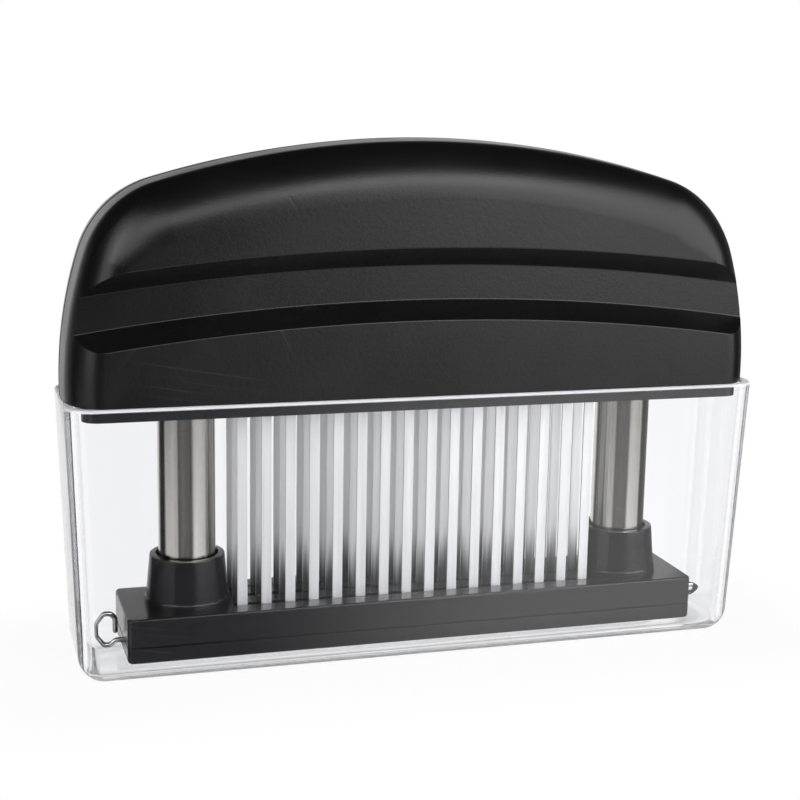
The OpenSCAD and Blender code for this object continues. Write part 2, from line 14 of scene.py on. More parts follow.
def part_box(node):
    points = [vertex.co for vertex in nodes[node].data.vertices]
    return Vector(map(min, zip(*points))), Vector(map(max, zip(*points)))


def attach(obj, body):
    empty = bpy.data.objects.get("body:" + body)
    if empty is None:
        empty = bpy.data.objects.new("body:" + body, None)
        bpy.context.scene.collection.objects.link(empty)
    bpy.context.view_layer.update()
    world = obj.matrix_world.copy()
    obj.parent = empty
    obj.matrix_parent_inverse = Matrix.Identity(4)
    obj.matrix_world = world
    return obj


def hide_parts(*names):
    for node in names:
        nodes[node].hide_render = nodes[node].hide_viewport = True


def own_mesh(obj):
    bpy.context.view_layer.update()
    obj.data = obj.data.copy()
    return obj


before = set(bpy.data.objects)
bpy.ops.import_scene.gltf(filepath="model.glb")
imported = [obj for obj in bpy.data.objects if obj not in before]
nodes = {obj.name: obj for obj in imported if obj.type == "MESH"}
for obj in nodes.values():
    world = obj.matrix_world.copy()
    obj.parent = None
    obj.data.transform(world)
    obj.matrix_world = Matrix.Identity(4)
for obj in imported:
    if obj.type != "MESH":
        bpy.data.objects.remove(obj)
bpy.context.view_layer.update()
MM = 0.001


# ---------------------------------------------------------------- sizes taken from the frame

cover_low, cover_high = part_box("cover")
shell_low, shell_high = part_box("handle_front_shell")
guide_low, guide_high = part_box("foot_guide")
sole_low, sole_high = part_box("foot_sole")
post_low, post_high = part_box("post_right")
plug_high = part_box("post_plug_right")[1]
rod_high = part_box("spring_rod_right")[1]
pin_low, pin_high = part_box("ring_pin_right")
blade_low, blade_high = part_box("blades_front")

rim_z = cover_high.z
handle_top = shell_high.z
palm_depth = -shell_low.y
post_x = (post_low.x + post_high.x) / 2
post_r = (post_high.x - post_low.x) / 2
foot_half_l = guide_high.x
foot_half_w = guide_high.y
row_gap = -(blade_low.y + blade_high.y) / 2
guide_h = 6.2 * MM  # without its sockets
foot_top = sole_high.z + guide_h
beyond = 1 * MM  # how far a cutting piece reaches past what it cuts


# ---------------------------------------------------------------- mesh tools


def new_piece(name, bm):
    """Object made of the finished bmesh, with its faces turned outward."""
    bmesh.ops.recalc_face_normals(bm, faces=bm.faces)
    mesh = bpy.data.meshes.new(name)
    bm.to_mesh(mesh)
    bm.free()
    piece = bpy.data.objects.new(name, mesh)
    bpy.context.scene.collection.objects.link(piece)
    return piece


def at_height(points, z):
    """The (x, y) points as a ring at height z."""
    return [(x, y, z) for x, y in points]


def loft(name, rings, closed=False):
    """Skin through rings of points. closed joins the last ring to the first one."""
    bm = bmesh.new()
    rows = [[bm.verts.new(p) for p in ring] for ring in rings]
    n = len(rows[0])
    pairs = list(zip(rows, rows[1:]))
    if closed:
        pairs.append((rows[-1], rows[0]))
    for a, b in pairs:
        for i in range(n):
            j = (i + 1) % n
            bm.faces.new((a[i], a[j], b[j], b[i]))
    if not closed:
        bm.faces.new(rows[0])
        bm.faces.new(rows[-1])
    return new_piece(name, bm)


def turned(name, profile, centre, steps=72):
    """Solid turned round a vertical axis from (radius, height) points, a closed profile."""
    rings = []
    for i in range(steps):
        a = 2 * pi * i / steps
        rings.append([(centre[0] + r * cos(a), centre[1] + r * sin(a), z) for r, z in profile])
    return loft(name, rings, closed=True)


def rod(name, centre, levels, steps=72):
    """Upright round bar through (radius, height) levels."""
    around = [(cos(2 * pi * i / steps), sin(2 * pi * i / steps)) for i in range(steps)]
    return loft(name, [at_height([(centre[0] + r * x, centre[1] + r * y) for x, y in around], z)
                       for r, z in levels])


def wire(name, points, r, sides=12):
    """Round wire along points, with rounded ends."""
    end_angles = [radians(20), radians(45), radians(75)]
    points = [Vector(p) for p in points]
    last = len(points) - 1
    tangents = [(points[min(i + 1, last)] - points[max(i - 1, 0)]).normalized() for i in range(last + 1)]
    across = tangents[0].orthogonal().normalized()
    rings = []
    for i, (p, t) in enumerate(zip(points, tangents)):
        across = (across - t * across.dot(t)).normalized()
        up = t.cross(across)
        ends = [(0.0, 1.0)]
        if i == 0:
            ends = [(-sin(a), cos(a)) for a in reversed(end_angles)] + ends
        if i == last:
            ends = ends + [(sin(a), cos(a)) for a in end_angles]
        for along, wide in ends:
            rings.append([p + t * (along * r) + (across * cos(b) + up * sin(b)) * (r * wide)
                          for b in (2 * pi * k / sides for k in range(sides))])
    return loft(name, rings)


def rounded_rect(half_l, half_w, r, steps=12):
    """Corner-rounded rectangle as (x, y) points, counter-clockwise."""
    points = []
    for quarter, (sx, sy) in enumerate(((1, 1), (-1, 1), (-1, -1), (1, -1))):
        for i in range(steps + 1):
            a = pi / 2 * (quarter + i / steps)
            points.append((sx * (half_l - r) + r * cos(a), sy * (half_w - r) + r * sin(a)))
    return points


def settle(piece):
    """Applies the piece's modifiers to its mesh."""
    depsgraph = bpy.context.evaluated_depsgraph_get()
    mesh = bpy.data.meshes.new_from_object(piece.evaluated_get(depsgraph))
    piece.modifiers.clear()
    piece.data = mesh


def combine(piece, tool, operation):
    """Cuts the tool out of the piece, or joins it on, and takes the tool away."""
    step = piece.modifiers.new(operation, "BOOLEAN")
    step.operation = operation
    step.solver = "EXACT"
    step.object = tool
    settle(piece)
    bpy.data.objects.remove(tool)


def cut(piece, *tools):
    """Cuts every tool out of the piece."""
    for tool in tools:
        combine(piece, tool, "DIFFERENCE")
    return piece


def soften(piece, width, crease=32, segments=2):
    """Rounds the edges sharper than crease degrees by width, and shades the rest smooth."""
    if width:
        edge = piece.modifiers.new("edge", "BEVEL")
        edge.width = width
        edge.segments = segments
        edge.limit_method = "ANGLE"
        edge.angle_limit = radians(crease)
        edge.use_clamp_overlap = True
        settle(piece)
    piece.data.polygons.foreach_set("use_smooth", [True] * len(piece.data.polygons))
    piece.data.set_sharp_from_angle(angle=radians(crease))
    even = piece.modifiers.new("even", "WEIGHTED_NORMAL")
    even.keep_sharp = True
    return piece


def stand_in_for(piece, node, body):
    """The piece takes a frame node's place and body."""
    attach(piece, body)
    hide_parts(node)


# ---------------------------------------------------------------- shader tools


def put(tree, kind, inputs=(), **settings):
    """Adds a node. inputs maps a socket's name or number to a value or to another socket."""
    made = tree.nodes.new("ShaderNode" + kind)
    for key, value in settings.items():
        setattr(made, key, value)
    for key, value in dict(inputs).items():
        if isinstance(value, bpy.types.NodeSocket):
            tree.links.new(value, made.inputs[key])
        else:
            made.inputs[key].default_value = value
    return made


def calc(tree, operation, *values):
    """Result of a math node."""
    return put(tree, "Math", dict(enumerate(values)), operation=operation).outputs[0]


def ramp(tree, value, low, high, to_low=0.0, to_high=1.0):
    """Smooth step of value from low to high."""
    return put(tree, "MapRange", {"Value": value, "From Min": low, "From Max": high,
                                  "To Min": to_low, "To Max": to_high},
               interpolation_type="SMOOTHSTEP").outputs["Result"]


def blend_colour(tree, share, a, b):
    """Colour a, going over to b as the share goes from 0 to 1."""
    return put(tree, "Mix", {0: share, 6: a, 7: b}, data_type="RGBA").outputs[2]


def group(name, inputs, outputs):
    """Empty shader group with float inputs (name: default) and float outputs."""
    tree = bpy.data.node_groups.new(name, "ShaderNodeTree")
    for label, value in inputs.items():
        socket = tree.interface.new_socket(label, in_out="INPUT", socket_type="NodeSocketFloat")
        socket.default_value = value
    for label in outputs:
        tree.interface.new_socket(label, in_out="OUTPUT", socket_type="NodeSocketFloat")
    start = tree.nodes.new("NodeGroupInput")
    end = tree.nodes.new("NodeGroupOutput")
    return tree, start.outputs, end


def place(tree, effect, **values):
    """Puts a shader group into a material's tree with its own values."""
    made = tree.nodes.new("ShaderNodeGroup")
    made.node_tree = effect
    for label, value in values.items():
        made.inputs[label.replace("_", " ")].default_value = value
    return made.outputs


def noise(tree, vector, scale, detail=2.0, roughness=0.5, distortion=0.0):
    """Value of a noise texture, with scale cells in a unit of the vector."""
    return put(tree, "TexNoise", {"Vector": vector, "Scale": scale, "Detail": detail,
                                  "Roughness": roughness, "Distortion": distortion}).outputs[0]


def part_of(tree, vector, axis):
    """One part of a vector: X, Y or Z."""
    return put(tree, "SeparateXYZ", {0: vector}).outputs[axis]


def stretched(tree, vector, scale):
    """The coordinate scaled by one factor per axis."""
    return put(tree, "VectorMath", {0: vector, 1: scale}, operation="MULTIPLY").outputs[0]


# ---------------------------------------------------------------- effects shared by materials


def make_moulded_skin():
    """Spark-eroded grain of a mould and the slow unevenness of a moulded wall."""
    tree, given, end = group("moulded_skin", {"Grain per metre": 2600.0, "Patch per metre": 45.0},
                             ("Grain", "Patches"))
    at = put(tree, "TexCoord").outputs["Object"]
    grain = noise(tree, at, given["Grain per metre"], 3.0, 0.6)
    patches = noise(tree, at, given["Patch per metre"], 2.0, 0.5, 0.4)
    tree.links.new(grain, end.inputs["Grain"])
    tree.links.new(ramp(tree, patches, 0.3, 0.7), end.inputs["Patches"])
    return tree


def make_handling():
    """Marks of use: hairline scratches that cross each other, and hand smudges."""
    tree, given, end = group("handling", {"Scratches": 0.5, "Smudges": 0.5}, ("Scratch", "Smudge"))
    at = put(tree, "TexCoord").outputs["Object"]
    length = 60  # of a scratch, in widths
    lines = None
    for turn, across in ((25, 900.0), (-40, 700.0), (80, 1100.0)):  # degrees, scratches side by side in 1 m
        turned_at = put(tree, "VectorRotate", {"Vector": at, "Angle": radians(turn)},
                        rotation_type="Y_AXIS").outputs[0]
        streak = noise(tree, stretched(tree, turned_at, (across, across, across / length)), 1.0, 1.0)
        hair = ramp(tree, streak, 0.70, 0.76)
        lines = hair if lines is None else calc(tree, "MAXIMUM", lines, hair)
    where = ramp(tree, noise(tree, at, 38.0, 2.0), 0.5, 0.68)
    scratch = calc(tree, "MULTIPLY", calc(tree, "MULTIPLY", lines, where), given["Scratches"])
    smudge = ramp(tree, noise(tree, at, 62.0, 4.0, 0.62, 0.8), 0.46, 0.72)
    tree.links.new(scratch, end.inputs["Scratch"])
    tree.links.new(calc(tree, "MULTIPLY", smudge, given["Smudges"]), end.inputs["Smudge"])
    return tree


def make_drawn_lines():
    """Fine lines that drawing or grinding leaves in steel, along Z, and wider bands under them."""
    bands_per_metre, band_length = 900.0, 30.0  # the length in bands
    tree, given, end = group("drawn_lines", {"Lines per metre": 5200.0, "Length in lines": 70.0},
                             ("Lines", "Bands"))
    at = put(tree, "TexCoord").outputs["Object"]
    parts = put(tree, "SeparateXYZ", {0: at}).outputs
    along = calc(tree, "DIVIDE", parts["Z"], given["Length in lines"])
    squeezed = put(tree, "CombineXYZ", {0: parts["X"], 1: parts["Y"], 2: along}).outputs[0]
    tree.links.new(noise(tree, squeezed, given["Lines per metre"], 3.0, 0.6), end.inputs["Lines"])
    slow = put(tree, "CombineXYZ", {0: parts["X"], 1: parts["Y"],
                                    2: calc(tree, "DIVIDE", parts["Z"], band_length)}).outputs[0]
    tree.links.new(noise(tree, slow, bands_per_metre, 2.0, 0.5), end.inputs["Bands"])
    return tree


def make_edge_wear():
    """Mask of the narrow strip along an edge that use rubs bright, broken up by grain.

    The rounded normal and the surface's own agree on a flat face and part towards an edge.
    """
    tree, given, end = group("edge_wear", {"Reach": 0.0004, "Amount": 0.6}, ("Wear",))
    rounded = put(tree, "Bevel", {"Radius": given["Reach"]}, samples=4).outputs[0]
    own = put(tree, "NewGeometry").outputs["Normal"]
    agree = put(tree, "VectorMath", {0: rounded, 1: own}, operation="DOT_PRODUCT").outputs["Value"]
    edge = ramp(tree, agree, 0.995, 0.86)
    at = put(tree, "TexCoord").outputs["Object"]
    broken = ramp(tree, noise(tree, at, 420.0, 3.0, 0.6), 0.35, 0.62, 0.35, 1.0)
    tree.links.new(calc(tree, "MULTIPLY", calc(tree, "MULTIPLY", edge, broken), given["Amount"]),
                   end.inputs["Wear"])
    return tree


moulded_skin = make_moulded_skin()
handling = make_handling()
drawn_lines = make_drawn_lines()
edge_wear = make_edge_wear()


# ---------------------------------------------------------------- materials

patch_dark, patch_light = 0.86, 1.14
band_dark, band_light = 0.84, 1.1
rubbed_gain, rubbed_rise = 1.6, 0.012
scratch_tone = 0.5
scratch_deep = -0.6
skin_relief = 0.00004
steel_relief = 0.00002
cover_relief = 0.0004
# colour of the painted shade and painted reflection of the black foot on the blades above it
foot_shade_colour = (0.02, 0.02, 0.02, 1)
foot_shade_start = (foot_top - 4 * MM, foot_top - 1 * MM)  # where the painted shade and reflection of the foot sets in
foot_shade_end = (foot_top + 18 * MM, foot_top + 6 * MM)  # where the painted shade has faded, and where it starts to
foot_shade_ragged = 12 * MM
frost_low, frost_high = rim_z - 0.7 * MM, rim_z - 0.4 * MM


def start_material(name):
    """New material, its node tree and its surface shader."""
    material = bpy.data.materials.new(name)
    material.use_nodes = True
    tree = material.node_tree
    return material, tree, tree.nodes["Principled BSDF"]


def times(colour, gain, rise=0.0):
    """The colour made lighter or darker, as an opaque one."""
    return tuple(c * gain + rise for c in colour) + (1,)


def moulded_plastic(name, colour, shine, grain=0.3, grain_per_metre=2600.0, smudges=0.5, wear=0.5):
    """Injection-moulded plastic. shine is the roughness of its clean skin."""
    material, tree, surface = start_material(name)
    skin = place(tree, moulded_skin, Grain_per_metre=grain_per_metre)
    marks = place(tree, handling, Scratches=0.5, Smudges=smudges)
    rubbed = place(tree, edge_wear, Amount=wear)["Wear"]
    pale = times(colour, rubbed_gain, rubbed_rise)
    tone = blend_colour(tree, skin["Patches"], times(colour, patch_dark), times(colour, patch_light))
    tone = blend_colour(tree, rubbed, tone, pale)
    tone = blend_colour(tree, calc(tree, "MULTIPLY", marks["Scratch"], scratch_tone), tone, pale)
    tree.links.new(tone, surface.inputs["Base Color"])
    rough = calc(tree, "MULTIPLY_ADD", skin["Patches"], 0.05, shine)
    rough = calc(tree, "MULTIPLY_ADD", marks["Smudge"], 0.07, rough)
    rough = calc(tree, "MULTIPLY_ADD", rubbed, -0.08, rough)
    tree.links.new(calc(tree, "MULTIPLY_ADD", marks["Scratch"], 0.1, rough), surface.inputs["Roughness"])
    height = calc(tree, "MULTIPLY_ADD", marks["Scratch"], scratch_deep, skin["Grain"])
    bump = put(tree, "Bump", {"Strength": grain, "Distance": skin_relief, "Height": height})
    tree.links.new(bump.outputs[0], surface.inputs["Normal"])
    return material


def drawn_steel(name, colour, shine, lines=0.25, foot_shade=0.0):
    """Stainless steel with drawing lines along Z. shine is the roughness between them.

    The band darkening the forward faces just above the foot is painted shade between the blade rows and a
    painted reflection of the black foot; the last argument sets how dark it gets.
    """
    material, tree, surface = start_material(name)
    drawn = place(tree, drawn_lines)
    marks = place(tree, handling, Scratches=0.35, Smudges=0.5)
    rubbed = place(tree, edge_wear, Reach=0.00015, Amount=0.5)["Wear"]
    light = tuple(min(1.0, c) for c in times(colour, band_light))
    tone = blend_colour(tree, drawn["Bands"], times(colour, band_dark), light)
    tone = blend_colour(tree, rubbed, tone, light)
    if foot_shade:
        # Painted shade and reflection: a dark band above the foot on the forward faces, where the rows
        # shade each other and the black foot is mirrored.
        height = part_of(tree, put(tree, "TexCoord").outputs["Object"], "Z")
        uneven = calc(tree, "MULTIPLY_ADD", drawn["Bands"], foot_shade_ragged, height)
        fades_up = ramp(tree, uneven, *foot_shade_end, 0.0, foot_shade)
        band = calc(tree, "MULTIPLY", fades_up, ramp(tree, height, *foot_shade_start))
        normal = part_of(tree, put(tree, "NewGeometry").outputs["True Normal"], "Y")
        forward = ramp(tree, normal, -0.4, -0.6)
        tone = blend_colour(tree, calc(tree, "MULTIPLY", band, forward), tone, foot_shade_colour)
    tree.links.new(tone, surface.inputs["Base Color"])
    surface.inputs["Metallic"].default_value = 1.0
    rough = calc(tree, "MULTIPLY_ADD", drawn["Lines"], 0.1, shine)
    rough = calc(tree, "MULTIPLY_ADD", marks["Smudge"], 0.06, rough)
    tree.links.new(calc(tree, "MULTIPLY_ADD", marks["Scratch"], 0.1, rough), surface.inputs["Roughness"])
    bump = put(tree, "Bump", {"Strength": lines, "Distance": steel_relief, "Height": drawn["Lines"]})
    tree.links.new(bump.outputs[0], surface.inputs["Normal"])
    return material


def clear_plastic(name):
    """Clear moulded plastic with a frosted rim. Lamps reach what is behind it."""
    material, tree, surface = start_material(name)
    surface.inputs["Base Color"].default_value = (0.99, 0.992, 1.0, 1)
    surface.inputs["Transmission Weight"].default_value = 1.0
    surface.inputs["IOR"].default_value = 1.42
    skin = place(tree, moulded_skin, Grain_per_metre=60.0, Patch_per_metre=30.0)
    marks = place(tree, handling, Scratches=0.8, Smudges=0.4)
    rough = calc(tree, "MULTIPLY_ADD", marks["Smudge"], 0.03, 0.015)
    tree.links.new(calc(tree, "MULTIPLY_ADD", marks["Scratch"], 0.2, rough), surface.inputs["Roughness"])
    bump = put(tree, "Bump", {"Strength": 0.05, "Distance": cover_relief, "Height": skin["Grain"]})
    tree.links.new(bump.outputs[0], surface.inputs["Normal"])
    lamp_ray = put(tree, "LightPath").outputs["Is Shadow Ray"]
    facing = put(tree, "LayerWeight", {"Blend": 0.5}).outputs["Facing"]
    grazing = ramp(tree, facing, 0.3, 0.7, 0.0, 0.2)
    through = put(tree, "BsdfTransparent", {"Color": (0.93, 0.935, 0.96, 1)})
    share = calc(tree, "MAXIMUM", lamp_ray, grazing)
    mixed = put(tree, "MixShader", {0: share, 1: surface.outputs[0], 2: through.outputs[0]})
    height = part_of(tree, put(tree, "TexCoord").outputs["Object"], "Z")
    at_rim = ramp(tree, height, frost_low, frost_high, 0.0, 0.75)
    frosted = put(tree, "BsdfDiffuse", {"Color": (0.95, 0.95, 1.0, 1)})
    mixed = put(tree, "MixShader", {0: at_rim, 1: mixed.outputs[0], 2: frosted.outputs[0]})
    tree.links.new(mixed.outputs[0], tree.nodes["Material Output"].inputs["Surface"])
    return material


handle_black = moulded_plastic("handle_black", (0.0035, 0.0035, 0.0038), 0.27, grain=0.6,
                               grain_per_metre=1700.0, wear=0.3)
foot_black = moulded_plastic("foot_black", (0.009, 0.009, 0.01), 0.16, grain=0.1, smudges=0.4, wear=0.2)
plate_black = moulded_plastic("plate_black", (0.01, 0.01, 0.011), 0.3, grain=0.2)
carrier_grey = moulded_plastic("carrier_grey", (0.03, 0.03, 0.032), 0.4, grain=0.3)
inner_plastic = moulded_plastic("inner_plastic", (0.05, 0.05, 0.053), 0.42, grain=0.3)
bush_white = moulded_plastic("bush_white", (0.66, 0.65, 0.6), 0.34, grain=0.15)
clear_cover = clear_plastic("clear_cover")
blade_steel = drawn_steel("blade_steel", (0.93, 0.93, 0.925), 0.48, lines=0.2)
# The rows behind the front one get a painted dark band above the foot: painted shade and a painted
# reflection of the foot.
inner_blade_steel = drawn_steel("inner_blade_steel", (0.88, 0.88, 0.885), 0.4, lines=0.3, foot_shade=0.92)
post_steel = drawn_steel("post_steel", (0.68, 0.665, 0.62), 0.11, lines=0.18)
spring_steel = drawn_steel("spring_steel", (0.5, 0.5, 0.5), 0.22)
pin_steel = drawn_steel("pin_steel", (0.62, 0.62, 0.62), 0.16, lines=0.1)
fastener_steel = drawn_steel("fastener_steel", (0.58, 0.58, 0.57), 0.25)

for name, material in {
    "base_plate": plate_black,
    "blade_carrier_front": carrier_grey, "blade_carrier_middle": carrier_grey,
    "blade_carrier_rear": carrier_grey,
    "blades_front": blade_steel, "blades_middle": inner_blade_steel, "blades_rear": inner_blade_steel,
    "post_bush_left": bush_white, "post_bush_right": bush_white,
    "spring_rod_left": inner_plastic, "spring_rod_right": inner_plastic,
    "plate_screws": fastener_steel, "carrier_bolts": fastener_steel,
    "post_left": post_steel, "post_right": post_steel,
    "post_stop_ring_left": spring_steel, "post_stop_ring_right": spring_steel,
    "post_plug_left": inner_plastic, "post_plug_right": inner_plastic,
}.items():
    for slot in nodes[name].material_slots:
        slot.material = material


def paint(piece, material):
    """Gives the piece its only material."""
    piece.data.materials.clear()
    piece.data.materials.append(material)
    return piece


# ---------------------------------------------------------------- handle shells

dome_r = 195 * MM
shoulder_r = 22 * MM
side_r = 90 * MM
side_lean = radians(-1.5)
edge_depth = 7.4 * MM
groove_depth = 9.8 * MM
top_roll = 11 * MM
side_roll = 7 * MM
shoulder_roll = 2.5 * MM
shell_wall = 1.9 * MM
edge_draft = 0.5 * MM
roll_start = radians(28)
roll_blend = radians(14)
edge_round = 1.8 * MM
edge_steps = 6
side_steps, shoulder_steps, dome_steps = 26, 26, 34
seam_gap = 0.3 * MM
seam_deep = 1.0 * MM
seam_edge = 0.5 * MM
groove_z = 19.5 * MM
groove_h = 7.25 * MM
groove_low_slope = 3.6 * MM
groove_top_slope = 4.1 * MM
groove_arch_r = 480 * MM
groove_fillet = 0.45 * MM
groove_edge = 0.4 * MM
groove_clear = 1.2 * MM  # how far the groove's cutter stands out of the palm
flare_run, flare_rise = 3 * MM, 0.02 * MM
arch_past = 6 * MM
weld_reach = 0.01 * MM


def handle_outline():
    """Outline above the rim as (x, z, angle of the outward normal), from right to left."""
    dome_c = Vector((0, handle_top - dome_r))
    side_c = Vector((shell_high.x - side_r, rim_z - side_r * sin(side_lean)))
    to_dome, to_side = dome_r - shoulder_r, side_r - shoulder_r
    span = (side_c - dome_c).length
    line = (side_c - dome_c) / span
    foot = (to_dome**2 - to_side**2 + span**2) / (2 * span)
    rise = sqrt(to_dome**2 - foot**2)
    shoulder_c = dome_c + foot * line + rise * Vector((line.y, -line.x))
    angle_side = atan2(shoulder_c.y - side_c.y, shoulder_c.x - side_c.x)
    angle_dome = atan2(shoulder_c.y - dome_c.y, shoulder_c.x - dome_c.x)
    right = []
    for centre, r, a0, a1, steps in ((side_c, side_r, side_lean, angle_side, side_steps),
                                     (shoulder_c, shoulder_r, angle_side, angle_dome, shoulder_steps),
                                     (dome_c, dome_r, angle_dome, pi / 2, dome_steps)):
        for i in range(0 if not right else 1, steps + 1):
            a = a0 + (a1 - a0) * i / steps
            right.append((centre.x + r * cos(a), centre.y + r * sin(a), a))
    return right + [(-x, z, pi - a) for x, z, a in reversed(right[:-1])]


def inset_outline(points, d, share, low):
    """The outline above low moved in by d and by a share of the rounded edge, widest at the shoulders."""
    moved = []
    for i, (x, z, a) in enumerate(points):
        width = side_roll + (top_roll - side_roll) * sin(a) ** 2 + shoulder_roll * sin(2 * a) ** 2
        move = d + share * width
        at_end = i in (0, len(points) - 1)
        moved.append((x - move * cos(a), low if at_end else max(low, z - move * sin(a))))
    return moved


def rolled(a):
    """Depth, share of the roll and inset where the palm's edge has turned to the angle a."""
    out = (sin(a) - sin(roll_start)) / (1 - sin(roll_start))
    share = (cos(roll_start) - cos(a)) / cos(roll_start)
    return Vector((edge_depth + (palm_depth - edge_depth) * out, share, edge_draft))


def handle_half(name, wall, low, roll_steps=16):
    """Front half of the handle as a solid, thinner all round by the wall.

    A level is (depth, share of the roll, inset). Without a wall it starts with the seam's open gap.
    """
    points = handle_outline()
    if wall:
        levels = [Vector((wall - beyond, 0, 0))]
    else:
        levels = [Vector(level) for level in (
            (0, 0, seam_deep), (seam_gap, 0, seam_deep), (seam_gap, 0, seam_edge),
            (seam_gap + seam_edge * 0.3, 0, seam_edge * 0.3), (seam_gap + seam_edge, 0, 0))]
    crease, meets = rolled(roll_start), roll_start + roll_blend
    before = Vector((edge_depth - edge_round, 0, edge_draft * (1 - edge_round / edge_depth)))
    for i in range(edge_steps + 1):
        t = i / edge_steps
        levels.append(before * (1 - t) ** 2 + crease * 2 * t * (1 - t) + rolled(meets) * t**2)
    levels += [rolled(meets + (pi / 2 - meets) * k / roll_steps) for k in range(1, roll_steps + 1)]
    return loft(name, [[(x, wall - depth, z) for x, z in inset_outline(points, d + wall, share, low)]
                       for depth, share, d in levels])


def arched(name, profile, steps=110):
    """Solid along the groove's arch from a closed profile of (height, depth) points."""
    centre_z = rim_z + groove_z - groove_arch_r
    half = asin((shell_high.x + arch_past) / groove_arch_r)
    rings = []
    for i in range(steps + 1):
        a = half * (2 * i / steps - 1)
        rings.append([((groove_arch_r + h) * sin(a), -depth, centre_z + (groove_arch_r + h) * cos(a))
                      for h, depth in profile])
    return loft(name, rings)


def fillet(before, corner, after, r, steps=5):
    """Points of an arc of radius r that rounds the corner between two straight runs."""
    corner, before, after = Vector(corner), Vector(before), Vector(after)
    u, v = (before - corner).normalized(), (after - corner).normalized()
    half = acos(max(-1, min(1, u.dot(v)))) / 2
    centre = corner + (u + v).normalized() * (r / sin(half))
    start, end = corner + u * (r / tan(half)) - centre, corner + v * (r / tan(half)) - centre
    turn = pi - 2 * half
    points = []
    for i in range(steps + 1):
        t = i / steps
        p = (start * sin((1 - t) * turn) + end * sin(t * turn)) / sin(turn)
        points.append(tuple(centre + p))
    return points


def groove_profile():
    """Flat floor, rounded corners, two slopes and a flared edge where each meets the palm's face."""
    far = palm_depth + groove_clear
    low_top = (-groove_low_slope, palm_depth)
    high_top = (groove_h + groove_top_slope, palm_depth)
    low_out = (low_top[0] - flare_run, palm_depth + flare_rise)
    high_out = (high_top[0] + flare_run, palm_depth + flare_rise)
    floor_low, floor_high = (0, groove_depth), (groove_h, groove_depth)
    low_edge = fillet(low_out, low_top, floor_low, groove_edge)
    high_edge = fillet(floor_high, high_top, high_out, groove_edge)
    return ([(low_edge[0][0], far)] + low_edge
            + fillet(low_top, floor_low, floor_high, groove_fillet)
            + fillet(floor_low, floor_high, high_top, groove_fillet)
            + high_edge + [(high_edge[-1][0], far)])


def handle_shell(name):
    """Front half-shell: hollow, with the groove and the wall that backs it."""
    shell = handle_half(name, 0, rim_z)
    cavity = handle_half(name + "_cavity", shell_wall, rim_z - beyond, roll_steps=8)
    near, far = groove_depth - shell_wall, palm_depth
    backing = arched(name + "_backing", [
        (-shell_wall / 2, near), (groove_h + shell_wall / 2, near),
        (groove_h + groove_top_slope + shell_wall, far), (-groove_low_slope - shell_wall, far)])
    cut(shell, cut(cavity, backing), arched(name + "_groove", groove_profile()))
    weld = shell.modifiers.new("weld", "WELD")
    weld.merge_threshold = weld_reach
    settle(shell)
    return soften(shell, 0)


front_shell = handle_shell("handle_front")
rear_shell = front_shell.copy()
rear_shell.name = "handle_rear"
rear_shell.data = front_shell.data.copy()
rear_shell.data.transform(Matrix.Scale(-1, 4, (0, 1, 0)))
rear_shell.data.flip_normals()
bpy.context.scene.collection.objects.link(rear_shell)
for shell, node in ((front_shell, "handle_front_shell"), (rear_shell, "handle_rear_shell")):
    stand_in_for(paint(shell, handle_black), node, "handle")


# ---------------------------------------------------------------- clear cover

cover_wall = 2 * MM
cover_draft = 1.8 * MM
cover_r = 5.6 * MM
cover_floor_r = 1.2 * MM
cover_floor = 1.4 * MM
base_steps = 12
rim_round = 0.45 * MM
rim_steps = 4


def tray_rings(half_l, half_w, base_z, r, base_r, top_z):
    """Rings of a rounded tray from its base up to its rim: rounded base, then a leaning wall."""
    levels = []
    for i in range(base_steps + 1):
        a = pi / 2 * i / base_steps
        levels.append((r + cover_draft, r - base_r * (1 - sin(a)), base_z + base_r * (1 - cos(a))))
    inset0, corner0, z0 = levels[-1]
    for t in (0.25, 0.5, 0.75, 1.0):
        levels.append((inset0 - cover_draft * t, corner0 + (r - corner0) * t, z0 + (top_z - z0) * t))
    return [at_height(rounded_rect(half_l - inset + corner, half_w - inset + corner, corner), z)
            for inset, corner, z in levels]


def grow(ring, d, z):
    """The ring moved outward by d and set at height z."""
    n = len(ring)
    moved = []
    for i, p in enumerate(ring):
        before, after = Vector(ring[i - 1]), Vector(ring[(i + 1) % n])
        along = (after - before).normalized()
        moved.append((p[0] + d * along.y, p[1] - d * along.x, z))
    return moved


outer = tray_rings(cover_high.x, cover_high.y, cover_low.z, cover_r, cover_r, rim_z - rim_round)
inner = tray_rings(cover_high.x - cover_wall, cover_high.y - cover_wall, cover_low.z + cover_floor,
                   cover_r - cover_wall, cover_floor_r, rim_z - rim_round)
rim = []
for i in range(1, rim_steps + 1):
    a = pi / 2 * i / rim_steps
    rim.append(grow(outer[-1], -rim_round * (1 - cos(a)), rim_z - rim_round * (1 - sin(a))))
for i in range(rim_steps - 1, 0, -1):
    a = pi / 2 * i / rim_steps
    rim.append(grow(inner[-1], rim_round * (1 - cos(a)), rim_z - rim_round * (1 - sin(a))))
cover = soften(loft("cover_tray", outer + rim + inner[::-1]), 0, crease=50)
stand_in_for(paint(cover, clear_cover), "cover", "cover")


# ---------------------------------------------------------------- foot

foot_corner_r = 1.4 * MM
foot_edge = 0.5 * MM
split_gap = 0.15 * MM
split_deep = 0.7 * MM
split_edge = 0.12 * MM
slot_half_w = 0.75 * MM
slot_half_l = blade_high.x + 0.7 * MM
slot_corner_r = 0.3 * MM
foot_bevel = 0.08 * MM
running_fit = 0.05 * MM
bore_r = post_r + running_fit
socket_rim_r = post_r + 1.9 * MM
socket_base_r = socket_rim_r + 0.8 * MM
socket_lip = 0.3 * MM
collar_h, collar_bend, collar_end = 1.1 * MM, 1.35 * MM, 1.6 * MM  # heights of the step round its base
mouth_h = 1.6 * MM
mouth_flare = 0.55 * MM
socket_top = guide_high.z


